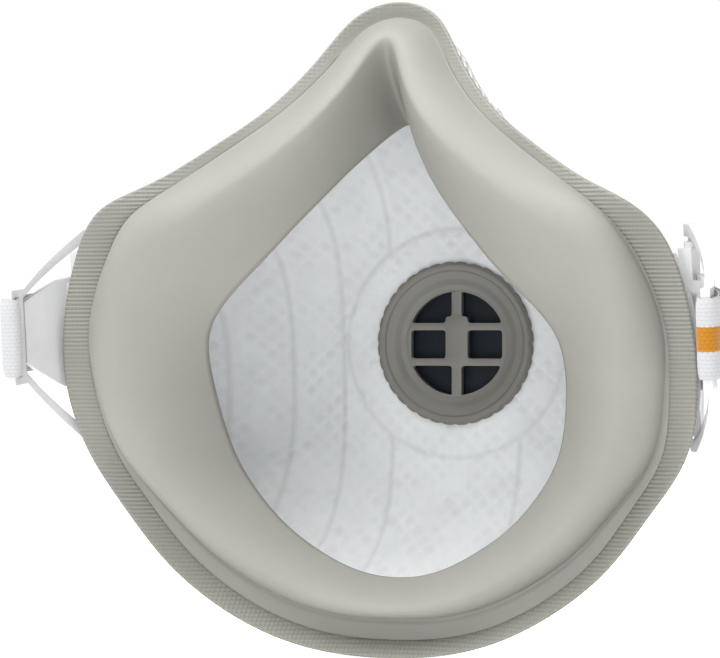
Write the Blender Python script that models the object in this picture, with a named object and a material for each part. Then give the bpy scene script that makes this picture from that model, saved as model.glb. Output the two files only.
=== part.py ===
"""A valved cup dust mask with a full face seal, as worn.

+Z is up (nose), +Y points away from the wearer (valve) and +X is the wearer's
right. The design is written in millimetres and becomes metres when a mesh is
made.
"""

import math

import bmesh
import bpy
import numpy as np
from mathutils import Vector
from mathutils.bvhtree import BVHTree

MM = 0.001
GAP = 0.3

# Cross-sections of the face seal, from the nose tip down the +X side to the chin:
# rim edge (x, y, z), roll crest (x, y, z), opening edge (x, y, z),
# flange width, ledge width, and how far the flange leans away from the wearer.
SECTIONS = [
    (0.0, 16.0, 65.3, 0.0, 9.0, 57.2, 0.0, 23.0, 41.0, 2.8, 0.3, 0.8),
    (8.6, 14.4, 62.2, 3.0, 6.6, 54.0, 2.6, 18.2, 38.4, 2.8, 0.3, 0.8),
    (15.0, 9.8, 53.6, 6.0, 2.8, 48.4, 5.2, 14.0, 35.0, 2.8, 0.3, 0.8),
    (22.8, 4.2, 44.2, 11.0, -1.4, 41.6, 8.2, 10.3, 31.2, 2.8, 0.3, 0.8),
    (32.0, -0.3, 37.0, 18.5, -4.5, 34.5, 12.0, 7.2, 26.5, 3.0, 0.3, 1.0),
    (43.8, -4.3, 29.5, 31.0, -8.0, 25.5, 17.7, 4.3, 20.0, 3.4, 0.3, 1.0),
    (53.8, -6.6, 24.5, 42.0, -9.6, 19.0, 23.3, 2.8, 13.8, 5.2, 0.3, 1.2),
    (61.0, -3.4, 16.5, 49.0, -9.0, 12.5, 29.5, 2.3, 7.5, 6.6, 0.3, 0.8),
    (65.2, -1.3, 2.0, 52.5, -7.0, 0.5, 35.9, 5.2, -0.5, 5.6, 0.3, 1.0),
    (65.7, 1.4, -12.0, 52.0, -4.0, -12.5, 37.0, 10.0, -11.0, 5.9, 0.8, 1.2),
    (62.4, 4.9, -25.0, 49.0, -0.5, -24.0, 34.8, 13.8, -23.0, 5.2, 1.7, 2.1),
    (54.8, 5.6, -36.3, 43.0, 3.0, -33.5, 30.5, 15.2, -31.5, 4.5, 2.8, 3.1),
    (45.0, 6.5, -48.0, 34.5, 5.2, -42.3, 24.0, 15.6, -39.0, 4.0, 3.8, 3.8),
    (31.0, 7.2, -58.0, 23.5, 6.6, -49.8, 16.0, 15.6, -44.7, 3.6, 4.2, 4.2),
    (15.8, 8.6, -63.7, 12.0, 7.4, -54.6, 8.0, 16.0, -48.4, 3.4, 4.2, 4.2),
    (0.0, 9.6, -65.3, 0.0, 7.8, -56.0, 0.0, 16.5, -49.6, 3.4, 4.2, 4.2),
]

# Face seal
SEAL_FLANGE = 1.2
SEAL_SKIN = 1.7
FALL_POWER = 1.6

# Cup: layers from the wearer outward, each with its inner and outer distance
# from the liner's inner face, on the flange and on the dome.
VALVE_Z = -3.0
BOSS_Y = 52.9
BOSS_RADIUS = 22.0
DOME_POWER = 0.88
CUP_INSET = 4.0
CUP_FLANGE = SEAL_FLANGE + 0.5
LAYERS = {
    "inner_liner": ((0.0, 0.4), (0.0, 0.5)),
    "outer_cover": ((0.9, 1.5), (2.6, 3.3)),
}
FILTER_FOOT = (0.4, 0.9)
FILTER_DEPTHS = (0.8, 2.25)
MESH_FOOT = (1.5, 1.5)
MESH_DEPTHS = (3.65, 4.15)
LAYER_HOLE = 14.0
MESH_HOLE = 19.6

# Valve, as radius and depth along +Y from the seat's wearer-side face
SEAT_FACE_Y = 51.0
SEAT_RADIUS = 17.0
NECK_RADIUS = 13.6
NECK_BORE = 12.6
WINDOW_RADIUS = 10.8
WINDOW_HALF_WIDTH = 10.0
GRID_DEPTH = (1.8, 3.4)
NECK_LENGTH = 9.0
SEAT_BACK = 1.6
SEAT_STEPS = ((15.2, 0.0), (14.9, 0.5), (13.4, 0.8), (12.6, 1.4))
SEAT_BEVEL = 0.7
WINDOW_EDGE = 0.5
GRID_INSET = 0.05
GRID_OVERLAP = 0.6
SIDE_BAR = (-4.2, 3.8)
PAD_RAISE = 0.3
PIN_HOLE_FLOOR = 0.8
LIP_RADII = (11.1, 11.9)
LIP_DEPTH = 4.2
BAR_WIDTH = 2.1
PAD_WIDTH = 4.8
PAD_TOP = 5.6
PAD_BOTTOM = -3.9
CROSS_BARS = (3.5, -3.9)
CROSS_BAR_WIDTH = 1.5
DIAPHRAGM_RADIUS = 12.1
DIAPHRAGM_THICKNESS = 0.6
DIAPHRAGM_TRAVEL = 1.2
PIN_RADIUS = 1.0
PIN_HEAD_RADIUS = 2.4
PIN_HEAD = 0.8
COVER_RADIUS = 18.5
COVER_FACE_RADIUS = 15.0
COVER_SKIN = 1.2
COVER_HEIGHT = 10.0
COVER_BEVEL = (1.4, 1.0)
COVER_FOOT = 1.4
VENTS = 6
VENT_FIRST = 30.0
VENT_RADII = (12.0, 22.0)
VENT_WIDTH = 7.0
VENT_LOW = 3.4
VENT_HEIGHT = 4.6

# Nose clip, over the bridge on the outside
CLIP_STEPS = 4
CLIP_HALF = 10
CLIP_RISES = (0.42, 0.56)
CLIP_THICKNESS = 0.9
CLIP_DEPTHS = (MESH_DEPTHS[1] + GAP, MESH_DEPTHS[1] + GAP + CLIP_THICKNESS)

# Buckles, curved plates that start at a hinge axis behind each cheek tab. The
# axis leans with the tab. On a plate, p runs outward along its curve, q across
# it and h along the axis.
HINGE = (63.4, 8.1, 0.0)
HINGE_LEAN = 6.7
PLATE_ANGLES = (50.0, 87.0)
PLATE_CURVE = 22.6
PLATE_STEP = 1.5
BASE_THICKNESS = 1.2
BASE_STRIP = (-15.5, 14.5)
BASE_STRIP_INSET = 4.4
BASE_STRIP_DEPTH = CUP_FLANGE + LAYERS["outer_cover"][0][1] + 0.5
TONGUE = ((3.4, -11.6, 11.0), (7.4, -10.8, 10.6), (17.8, -4.9, 7.2))
TONGUE_ROOT = (64.2, 66.4)
ROOT_THICKNESS = 2.4
EAR_X = (62.1, 64.7)
EAR = (-19.8, 15.4)
KNUCKLE_RADIUS = 1.5
KNUCKLE = (-20.7, 17.0)
PIN_HOLES = ((14.7, 17.5), (-21.2, -18.4))
STUBS = ((15.2, 18.4), (-22.0, -18.9))
STUB_RADIUS = 0.7
YOKE_THICKNESS = 1.8
YOKE_OUTLINE = ((-1.6, -23.9, 20.3), (1.0, -23.9, 20.3), (18.3, -9.0, 10.0), (23.3, -8.9, 10.1))
YOKE_WINDOW = ((-3.6, -21.5, 17.9), (0.8, -21.5, 17.9), (18.7, -6.6, 8.2))
YOKE_SLOT = ((20.3, -7.4, 8.6), (21.9, -7.4, 8.6))
OUTER_BAR = 22.6
STRAP_WIDTH = 15.4
STRAP_THICKNESS = 0.9

# Strap strands over the front, as heights at the middle and at the cheeks
STRAND_SWEEP = 76.0
STRAND_POINTS = 30
UPPER_STRAND = (25.5, 6.0)
LOWER_STRAND = (-31.5, -14.0)
STRAND_POWER = 2.2
STRAND_LIFT = 1.5
STRAND_CORE_Y = 14.0

SPAN_STEPS = 2
WALL_RISES = (0.0, 0.08, 0.3, 0.53, 0.76, 1.0)
ROUND = 32
BARREL_SIDES = 16
BLOCK_STEPS = 12
LOOP_SIDES = 20
LOOP_SQUARENESS = 0.6


def material(name, colour, roughness, metallic=0.0):
    """A plain Principled material."""
    mat = bpy.data.materials.new(name)
    mat.use_nodes = True
    shader = mat.node_tree.nodes["Principled BSDF"]
    shader.inputs["Base Color"].default_value = (*colour, 1.0)
    shader.inputs["Roughness"].default_value = roughness
    shader.inputs["Metallic"].default_value = metallic
    return mat


def solid(name, points, faces, mat, origin=(0.0, 0.0, 0.0)):
    """Make a closed object from points in millimetres, its origin at a given point."""
    base = np.array(origin)
    mesh = bpy.data.meshes.new(name)
    mesh.from_pydata([tuple((np.array(p) - base) * MM) for p in points], [], faces)
    bm = bmesh.new()
    bm.from_mesh(mesh)
    bmesh.ops.recalc_face_normals(bm, faces=bm.faces)
    bm.to_mesh(mesh)
    bm.free()
    mesh.shade_smooth()
    mesh.set_sharp_from_angle(angle=math.radians(35.0))
    mesh.materials.append(mat)
    obj = bpy.data.objects.new(name, mesh)
    obj.location = tuple(base * MM)
    bpy.context.scene.collection.objects.link(obj)
    return obj


def bake_boolean(obj, cutter, operation):
    """Apply one exact boolean with a cutter and remove the cutter."""
    bpy.context.view_layer.update()
    modifier = obj.modifiers.new("bool", "BOOLEAN")
    modifier.operation = operation
    modifier.solver = "EXACT"
    modifier.object = cutter
    depsgraph = bpy.context.evaluated_depsgraph_get()
    mesh = bpy.data.meshes.new_from_object(obj.evaluated_get(depsgraph))
    obj.modifiers.clear()
    obj.data = mesh
    bpy.data.objects.remove(cutter)


def ring_solid(name, sections, mat):
    """A closed solid from closed sections that follow each other round a loop."""
    count = len(sections)
    size = len(sections[0])
    points = [p for section in sections for p in section]
    faces = []
    for i in range(count):
        for j in range(size):
            a = i * size + j
            b = i * size + (j + 1) % size
            c = (i + 1) % count * size + (j + 1) % size
            d = (i + 1) % count * size + j
            faces.append((a, b, c, d))
    return solid(name, points, faces, mat)


def loft_solid(name, sections, mat, origin=(0.0, 0.0, 0.0)):
    """A closed solid from closed sections in a row, with capped ends."""
    size = len(sections[0])
    points = [p for section in sections for p in section]
    faces = [tuple(range(size)), tuple(range(len(points) - size, len(points)))]
    for i in range(len(sections) - 1):
        for j in range(size):
            a = i * size + j
            b = i * size + (j + 1) % size
            faces.append((a, b, b + size, a + size))
    return solid(name, points, faces, mat, origin)


def turned(name, profile, mat, centre_z=VALVE_Z):
    """A ring or disc turned about the valve axis from a closed (radius, y) profile."""
    sections = []
    for k in range(ROUND):
        angle = 2.0 * math.pi * k / ROUND
        sections.append([
            (r * math.cos(angle), y, centre_z + r * math.sin(angle)) for r, y in profile
        ])
    if min(r for r, _ in profile) > 0.0:
        return ring_solid(name, sections, mat)
    caps = [0, len(profile) - 1]
    points = [(0.0, profile[j][1], centre_z) for j in caps]
    rim = profile[1:-1]
    for section in sections:
        points.extend(section[1:-1])
    faces = []
    for k in range(ROUND):
        here = 2 + k * len(rim)
        there = 2 + (k + 1) % ROUND * len(rim)
        faces.append((0, here, there))
        faces.append((1, there + len(rim) - 1, here + len(rim) - 1))
        for j in range(len(rim) - 1):
            faces.append((here + j, here + j + 1, there + j + 1, there + j))
    return solid(name, points, faces, mat)


def box(name, low, high, mat):
    """A plain block between two corners."""
    sections = []
    for z in (low[2], high[2]):
        sections.append([
            (low[0], low[1], z), (high[0], low[1], z), (high[0], high[1], z), (low[0], high[1], z)
        ])
    return loft_solid(name, sections, mat)


# ---------------------------------------------------------------- outline


def closed_spline(knots, steps):
    """Sample a smooth closed curve through the knots, any number of values per knot."""
    knots = np.array(knots, float)
    count = len(knots)
    system = np.zeros((count, count))
    for i in range(count):
        system[i, i] = 4.0
        system[i, (i - 1) % count] = 1.0
        system[i, (i + 1) % count] = 1.0
    right = 3.0 * (np.roll(knots, -1, axis=0) - np.roll(knots, 1, axis=0))
    slopes = np.linalg.solve(system, right)
    rows = []
    for i in range(count):
        j = (i + 1) % count
        for k in range(steps):
            t = k / steps
            rows.append(
                (2 * t**3 - 3 * t**2 + 1) * knots[i] + (t**3 - 2 * t**2 + t) * slopes[i]
                + (3 * t**2 - 2 * t**3) * knots[j] + (t**3 - t**2) * slopes[j]
            )
    return np.array(rows)


def stations(steps=SPAN_STEPS):
    """The cross-section rows all the way round, starting at the nose tip."""
    mirror = np.ones(12)
    mirror[[0, 3, 6]] = -1.0
    right = [np.array(row) for row in SECTIONS]
    left = [row * mirror for row in right[-2:0:-1]]
    return closed_spline(right + left, steps)


class Station:
    """One cross-section of the mask."""

    def __init__(self, row):
        self.rim = row[0:3]
        self.crest = row[3:6]
        self.opening = row[6:9]
        self.flange, self.ledge, self.lean = row[9:12]
        inward = self.crest - self.rim
        inward[1] = 0.0
        self.inward = inward / np.linalg.norm(inward)

    def flange_point(self, distance):
        """The flange's wearer-side face at a distance in from the rim edge."""
        lean = self.lean * min(distance / self.flange, 1.0)
        return self.rim + self.inward * distance + np.array([0.0, lean, 0.0])


STATIONS = [Station(row) for row in stations()]

# ---------------------------------------------------------------- soft seal


def seal_front(station):
    """The wearer-side face of the seal, from the rim edge to the opening."""
    points = [station.rim, station.flange_point(station.flange)]
    groove = station.flange_point(station.flange + station.ledge)
    points.append(groove)
    for turn in (0.33, 0.66, 1.0):
        angle = turn * math.pi / 2
        across = 1.0 - math.cos(angle)
        point = groove + (station.crest - groove) * across
        point[1] = groove[1] + (station.crest[1] - groove[1]) * math.sin(angle)
        points.append(point)
    for step in (0.25, 0.5, 0.75, 1.0):
        point = station.crest + (station.opening - station.crest) * step
        fall = station.opening[1] - station.crest[1]
        point[1] = station.crest[1] + fall * step**FALL_POWER
        points.append(point)
    return points


def make_face_seal(mat):
    """The rolled cushion with its flange, as one skin of even thickness."""
    front = np.array([seal_front(station) for station in STATIONS])
    around = np.roll(front, -1, axis=0) - np.roll(front, 1, axis=0)
    across = np.gradient(front, axis=1)
    normal = np.cross(around, across)
    normal /= np.linalg.norm(normal, axis=2, keepdims=True)
    if normal[0, 0, 1] < 0.0:
        normal = -normal
    thickness = np.full(front.shape[1], SEAL_SKIN)
    thickness[:2] = SEAL_FLANGE
    back = front + normal * thickness[None, :, None]
    back[:, 0] = front[:, 0] + np.array([0.0, SEAL_FLANGE, 0.0])
    back[:, 1] = front[:, 1] + np.array([0.0, SEAL_FLANGE, 0.0])
    back[:, 2] = front[:, 2] + np.array([0.0, SEAL_FLANGE, 0.0])
    sections = [list(f) + list(b[::-1]) for f, b in zip(front, back)]
    return ring_solid("face_seal", sections, mat)


# ---------------------------------------------------------------- cup layers


def wall_width(station):
    """How far in from the rim edge the cup's wall rises."""
    return station.flange + station.ledge + CUP_INSET


def wall_point(station, rise, flange_depth, dome_depth):
    """A point of the wall, from the flange at rise 0 to the boss at rise 1."""
    foot = station.flange_point(wall_width(station) - dome_depth)
    foot_y = foot[1] + CUP_FLANGE + flange_depth
    angle = math.atan2(foot[2] - VALVE_Z, foot[0])
    ring = np.array([math.cos(angle), 0.0, math.sin(angle)])
    boss = BOSS_RADIUS * ring + np.array([0.0, 0.0, VALVE_Z])
    turn = rise * math.pi / 2
    point = boss + (foot - boss) * math.cos(turn) ** DOME_POWER
    point[1] = foot_y + (BOSS_Y + dome_depth - foot_y) * math.sin(turn) ** DOME_POWER
    return point


def boss_point(station, radius, depth):
    """A point on the flat boss round the valve."""
    foot = station.flange_point(wall_width(station))
    angle = math.atan2(foot[2] - VALVE_Z, foot[0])
    return np.array([
        radius * math.cos(angle), BOSS_Y + depth, VALVE_Z + radius * math.sin(angle)
    ])


def layer_face(station, flange_depth, dome_depth, hole, on_flange):
    """One face of a cup layer, from its outer edge to the valve hole."""
    points = []
    if on_flange:
        for distance in (0.0, station.flange):
            lift = np.array([0.0, CUP_FLANGE + flange_depth, 0.0])
            points.append(station.flange_point(distance) + lift)
    for rise in WALL_RISES if on_flange else WALL_RISES[1:]:
        points.append(wall_point(station, rise, flange_depth, dome_depth))
    if hole < BOSS_RADIUS - 1.0:
        points.append(boss_point(station, hole, dome_depth))
    return points


def make_layer(name, flange_depths, dome_depths, hole, mat, on_flange=True):
    """A cup-shaped layer between two faces, open at the valve."""
    sections = []
    for station in STATIONS:
        inner = layer_face(station, flange_depths[0], dome_depths[0], hole, on_flange)
        outer = layer_face(station, flange_depths[1], dome_depths[1], hole, on_flange)
        sections.append(inner + outer[::-1])
    return ring_solid(name, sections, mat)


def make_nose_clip(mat):
    """A bent strip of aluminium over the bridge, on the outside of the cup."""
    rows = stations(CLIP_STEPS)
    depth = LAYERS["outer_cover"][0][1]
    sections = []
    corners = (
        (CLIP_RISES[0], CLIP_DEPTHS[0]), (CLIP_RISES[1], CLIP_DEPTHS[0]),
        (CLIP_RISES[1], CLIP_DEPTHS[1]), (CLIP_RISES[0], CLIP_DEPTHS[1]),
    )
    for k in range(-CLIP_HALF, CLIP_HALF + 1):
        station = Station(rows[k])
        sections.append([wall_point(station, rise, depth, reach) for rise, reach in corners])
    return loft_solid("nose_clip", sections, mat)


# ---------------------------------------------------------------- valve


def make_valve_seat(mat):
    """The round seat with its recessed grid, neck, sealing lip and centre pad."""
    face = SEAT_FACE_Y
    front, back = (face + depth for depth in GRID_DEPTH)
    profile = [
        (SEAT_RADIUS, face + SEAT_BACK), (SEAT_RADIUS, face + SEAT_BEVEL),
        (SEAT_RADIUS - SEAT_BEVEL, face),
    ]
    profile += [(radius, face + depth) for radius, depth in SEAT_STEPS]
    profile += [
        (WINDOW_RADIUS + WINDOW_EDGE, front), (WINDOW_RADIUS, front),
        (WINDOW_RADIUS, back), (LIP_RADII[0], back),
        (LIP_RADII[0], face + LIP_DEPTH), (LIP_RADII[1], face + LIP_DEPTH),
        (LIP_RADII[1], back), (NECK_BORE, back),
        (NECK_BORE, face + NECK_LENGTH), (NECK_RADIUS, face + NECK_LENGTH),
        (NECK_RADIUS, face + SEAT_BACK),
    ]
    seat = turned("valve_seat", profile, mat)
    near = front + GRID_INSET
    far = back - GRID_INSET
    reach = WINDOW_RADIUS + GRID_OVERLAP
    bars = [((-BAR_WIDTH / 2, -reach), (BAR_WIDTH / 2, reach))]
    for height in CROSS_BARS:
        span = math.sqrt(reach**2 - height**2)
        low = height - CROSS_BAR_WIDTH / 2
        high = height + CROSS_BAR_WIDTH / 2
        bars.append(((-span, low), (span, high)))
    for side in (-1, 1):
        inner, outer = sorted((side * WINDOW_HALF_WIDTH, side * reach))
        bars.append(((inner, SIDE_BAR[0]), (outer, SIDE_BAR[1])))
    for number, ((x0, z0), (x1, z1)) in enumerate(bars):
        shift = GRID_INSET * number
        low = (x0, near + shift, z0 + VALVE_Z)
        high = (x1, far - shift, z1 + VALVE_Z)
        bake_boolean(seat, box("bar", low, high, mat), "UNION")
    pad = box(
        "pad", (-PAD_WIDTH / 2, near - PAD_RAISE, VALVE_Z + PAD_BOTTOM),
        (PAD_WIDTH / 2, face + LIP_DEPTH, VALVE_Z + PAD_TOP), mat,
    )
    bake_boolean(seat, pad, "UNION")
    floor = front + PIN_HOLE_FLOOR
    radius = PIN_RADIUS + GAP
    end = face + LIP_DEPTH + 1.0
    hole = turned("hole", [(0.0, floor), (radius, floor), (radius, end), (0.0, end)], mat)
    bake_boolean(seat, hole, "DIFFERENCE")
    return seat


def make_valve_parts(rubber, plastic, pale):
    """The flap, its pin and the vented cover."""
    seat_y = SEAT_FACE_Y + LIP_DEPTH
    flap_y = seat_y + GAP
    flap_back = flap_y + DIAPHRAGM_THICKNESS
    turned("valve_diaphragm", [
        (PIN_RADIUS + GAP, flap_y), (DIAPHRAGM_RADIUS, flap_y),
        (DIAPHRAGM_RADIUS, flap_back), (PIN_RADIUS + GAP, flap_back),
    ], rubber)
    foot_y = SEAT_FACE_Y + GRID_DEPTH[0] + PIN_HOLE_FLOOR + GAP
    head_y = flap_back + DIAPHRAGM_TRAVEL + GAP
    turned("diaphragm_pin", [
        (0.0, foot_y), (PIN_RADIUS, foot_y),
        (PIN_RADIUS, head_y), (PIN_HEAD_RADIUS, head_y),
        (PIN_HEAD_RADIUS, head_y + PIN_HEAD), (0.0, head_y + PIN_HEAD),
    ], plastic)
    base = BOSS_Y + LAYERS["outer_cover"][1][1] + GAP
    foot = base + COVER_FOOT
    top = base + COVER_HEIGHT
    cover = turned("valve_cover", [
        (0.0, top), (COVER_FACE_RADIUS, top),
        (COVER_FACE_RADIUS + COVER_BEVEL[0], top - COVER_BEVEL[1]),
        (COVER_RADIUS, foot), (COVER_RADIUS, base),
        (NECK_RADIUS + GAP, base), (NECK_RADIUS + GAP, foot),
        (COVER_RADIUS - COVER_SKIN - 0.2, foot),
        (COVER_FACE_RADIUS + 0.2, top - COVER_SKIN), (0.0, top - COVER_SKIN),
    ], pale)
    low = base + VENT_LOW
    for number in range(VENTS):
        corner = (VENT_RADII[0], low, -VENT_WIDTH / 2)
        cutter = box("vent", corner, (VENT_RADII[1], low + VENT_HEIGHT, VENT_WIDTH / 2), pale)
        cutter.location = (0.0, 0.0, VALVE_Z * MM)
        cutter.rotation_euler = (0.0, math.radians(360.0 / VENTS * number + VENT_FIRST), 0.0)
        bake_boolean(cover, cutter, "DIFFERENCE")


# ---------------------------------------------------------------- buckles


def hinge_point(side, out, front, up):
    """A point in the hinge's frame: outward, toward the front and along the axis."""
    lean = math.radians(HINGE_LEAN)
    return np.array([
        side * (HINGE[0] + out),
        HINGE[1] + front * math.cos(lean) - up * math.sin(lean),
        HINGE[2] + front * math.sin(lean) + up * math.cos(lean),
    ])


def plate_point(side, p, q, h):
    """A point of a buckle plate: along its curve, across it and along the hinge."""
    start, end = (math.radians(a) for a in PLATE_ANGLES)
    radius = PLATE_CURVE / (end - start)
    angle = start + max(p, 0.0) / radius
    out = radius * (math.sin(angle) - math.sin(start)) + min(p, 0.0) * math.cos(start)
    front = radius * (math.cos(angle) - math.cos(start)) - min(p, 0.0) * math.sin(start)
    return hinge_point(side, out + q * math.sin(angle), front + q * math.cos(angle), h)


def barrel(name, side, ends, radius, mat):
    """A cylinder on the hinge axis."""
    sections = []
    for end in ends:
        section = []
        for k in range(BARREL_SIDES):
            turn = 2.0 * math.pi * k / BARREL_SIDES
            section.append(hinge_point(side, radius * math.cos(turn), radius * math.sin(turn), end))
        sections.append(section)
    return loft_solid(name, sections, mat)


def plate(name, side, outline, half, mat, origin=(0.0, 0.0, 0.0)):
    """A curved plate from its outline, given as (p, bottom, top) in a row."""
    sections = []
    for (p0, low0, high0), (p1, low1, high1) in zip(outline, outline[1:]):
        steps = max(1, int(math.ceil((p1 - p0) / PLATE_STEP)))
        for k in range(steps):
            t = k / steps
            sections.append((p0 + (p1 - p0) * t, low0 + (low1 - low0) * t, high0 + (high1 - high0) * t))
    sections.append(outline[-1])
    loops = []
    for p, low, high in sections:
        loops.append([
            plate_point(side, p, -half, low), plate_point(side, p, half, low),
            plate_point(side, p, half, high), plate_point(side, p, -half, high),
        ])
    return loft_solid(name, loops, mat, origin)


def flange_at(height, distance):
    """The cheek flange's wearer-side face (x, y) at a height, on the +X side."""
    cheek = [s.flange_point(distance) for s in STATIONS if s.rim[0] > 40.0]
    cheek.sort(key=lambda point: point[2])
    heights = [point[2] for point in cheek]
    return (
        np.interp(height, heights, [point[0] for point in cheek]),
        np.interp(height, heights, [point[1] for point in cheek]),
    )


def make_buckle_base(name, side, mat):
    """The strip behind the cheek tab, with the tongue and the hinge barrel."""
    sections = []
    for height in np.linspace(*BASE_STRIP, 11):
        section = []
        for depth in (BASE_STRIP_DEPTH, BASE_STRIP_DEPTH + BASE_THICKNESS):
            edges = [flange_at(height, distance) for distance in (BASE_STRIP_INSET, 0.2)]
            row = [(side * x, y + depth, height) for x, y in edges]
            section += row if depth == BASE_STRIP_DEPTH else row[::-1]
        sections.append(section)
    base = loft_solid(name, sections, mat)
    bake_boolean(base, plate("tongue", side, TONGUE, BASE_THICKNESS / 2, mat), "UNION")
    root = (TONGUE[0][1] + 1.3, TONGUE[0][2] - 1.7)
    for edges, ends, thickness in ((EAR_X, EAR, None), (TONGUE_ROOT, root, ROOT_THICKNESS)):
        sections = []
        for height in np.linspace(*ends, BLOCK_STEPS):
            near = flange_at(height, BASE_STRIP_INSET)[1] + BASE_STRIP_DEPTH + 0.1
            far = near + thickness if thickness else hinge_point(side, 0.0, 0.6, height)[1]
            inner, outer = (side * edge for edge in edges)
            sections.append([
                (inner, near, height), (outer, near, height), (outer, far, height), (inner, far, height)
            ])
        bake_boolean(base, loft_solid("block", sections, mat), "UNION")
    bake_boolean(base, barrel("knuckle", side, KNUCKLE, KNUCKLE_RADIUS, mat), "UNION")
    for ends in PIN_HOLES:
        bake_boolean(base, barrel("hole", side, ends, STUB_RADIUS + GAP, mat), "DIFFERENCE")
    return base


def make_yoke(name, side, mat):
    """The frame that swings on the base and carries the strap on its outer bar."""
    half = YOKE_THICKNESS / 2
    axis = hinge_point(side, 0.0, 0.0, 0.0)
    yoke = plate(name, side, YOKE_OUTLINE, half, mat, axis)
    for opening in (YOKE_WINDOW, YOKE_SLOT):
        bake_boolean(yoke, plate("window", side, opening, half + 1.0, mat), "DIFFERENCE")
    for ends in STUBS:
        bake_boolean(yoke, barrel("stub", side, ends, STUB_RADIUS, mat), "UNION")
    return yoke


def rounded_loop(side, p, half_p, half_q, h):
    """A rounded rectangle round a point of the plate, in the plane of p and q."""
    loop = []
    for k in range(LOOP_SIDES):
        angle = 2.0 * math.pi * k / LOOP_SIDES
        c = math.cos(angle)
        s = math.sin(angle)
        along = half_p * math.copysign(abs(c) ** LOOP_SQUARENESS, c)
        through = half_q * math.copysign(abs(s) ** LOOP_SQUARENESS, s)
        loop.append(plate_point(side, p + along, through, h))
    return loop


def make_wrap(name, side, mat):
    """The strap where it turns round the yoke's outer bar."""
    inner_p = YOKE_OUTLINE[-1][0] - OUTER_BAR + GAP
    inner_q = YOKE_THICKNESS / 2 + GAP
    centre = 0.5 * (YOKE_SLOT[0][1] + YOKE_SLOT[0][2])
    ends = (centre - STRAP_WIDTH / 2, centre + STRAP_WIDTH / 2)
    outer_p = inner_p + STRAP_THICKNESS
    outer_q = inner_q + STRAP_THICKNESS
    outer = [rounded_loop(side, OUTER_BAR, outer_p, outer_q, h) for h in ends]
    inner = [rounded_loop(side, OUTER_BAR, inner_p, inner_q, h) for h in ends]
    sections = list(zip(outer[0], outer[1], inner[1], inner[0]))
    return ring_solid(name, sections, mat)


# ---------------------------------------------------------------- strap


def outer_surface():
    """The outside of the mesh and cover, as one surface to lay the strap on."""
    tree_points = []
    faces = []
    for name in ("outer_cover", "outer_mesh", "valve_cover"):
        mesh = bpy.data.objects[name].data
        start = len(tree_points)
        tree_points.extend(Vector(v.co) for v in mesh.vertices)
        faces.extend([start + i for i in polygon.vertices] for polygon in mesh.polygons)
    return BVHTree.FromPolygons(tree_points, faces)


def make_strand(name, heights, surface, mat):
    """A strand that lies over the front of the cup from cheek to cheek."""
    middle_height, cheek_height = heights
    sections = []
    for k in range(STRAND_POINTS + 1):
        sweep = -1.0 + 2.0 * k / STRAND_POINTS
        angle = math.radians(STRAND_SWEEP) * sweep
        height = middle_height + (cheek_height - middle_height) * abs(sweep) ** STRAND_POWER
        near = []
        far = []
        for across in (-0.5, 0.0, 0.5):
            z = height + across * STRAP_WIDTH
            start = Vector((0.0, STRAND_CORE_Y, z)) * MM
            direction = Vector((math.sin(angle), math.cos(angle), 0.0))
            hit = surface.ray_cast(start + direction * 0.2, -direction)[0]
            radius = (hit - start).length / MM
            for row, extra in ((near, STRAND_LIFT), (far, STRAND_LIFT + STRAP_THICKNESS)):
                row.append((
                    (radius + extra) * direction.x, STRAND_CORE_Y + (radius + extra) * direction.y, z
                ))
        sections.append(near + far[::-1])
    return loft_solid(name, sections, mat)


def main():
    for obj in list(bpy.data.objects):
        bpy.data.objects.remove(obj)
    foam = material("seal_foam", (0.42, 0.42, 0.38), 0.65)
    fleece = material("white_fleece", (0.78, 0.79, 0.80), 0.9)
    medium = material("filter_fleece", (0.85, 0.86, 0.86), 0.95)
    shell = material("shell_fleece", (0.82, 0.82, 0.81), 0.8)
    net = material("white_net", (0.88, 0.88, 0.87), 0.5)
    aluminium = material("aluminium", (0.80, 0.81, 0.82), 0.35, 1.0)
    grey = material("grey_plastic", (0.22, 0.22, 0.20), 0.45)
    rubber = material("dark_rubber", (0.015, 0.018, 0.025), 0.55)
    white = material("white_plastic", (0.80, 0.80, 0.80), 0.4)
    webbing = material("white_webbing", (0.84, 0.84, 0.85), 0.85)

    make_face_seal(foam)
    for name, (flange_depths, dome_depths) in LAYERS.items():
        make_layer(name, flange_depths, dome_depths, LAYER_HOLE, fleece if "liner" in name else shell)
    make_layer("filter_layer", FILTER_FOOT, FILTER_DEPTHS, LAYER_HOLE, medium, False)
    make_layer("outer_mesh", MESH_FOOT, MESH_DEPTHS, MESH_HOLE, net, False)
    make_nose_clip(aluminium)
    make_valve_seat(grey)
    make_valve_parts(rubber, grey, white)
    for side, label in ((-1, "left"), (1, "right")):
        make_buckle_base("buckle_base_" + label, side, white)
        make_yoke("strap_yoke_" + label, side, white)
        make_wrap("strap_wrap_" + label, side, webbing)
    surface = outer_surface()
    make_strand("strap_upper", UPPER_STRAND, surface, webbing)
    make_strand("strap_lower", LOWER_STRAND, surface, webbing)


main()
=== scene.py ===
"""Looks for the valved cup dust mask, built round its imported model.

Lengths are written in millimetres and become metres when a mesh is made.
+Z is up (nose), +Y points away from the wearer, +X is the wearer's right.
"""

import math
from contextlib import contextmanager

import bmesh
import bpy
import numpy as np
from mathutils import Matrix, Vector
from mathutils.bvhtree import BVHTree


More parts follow.
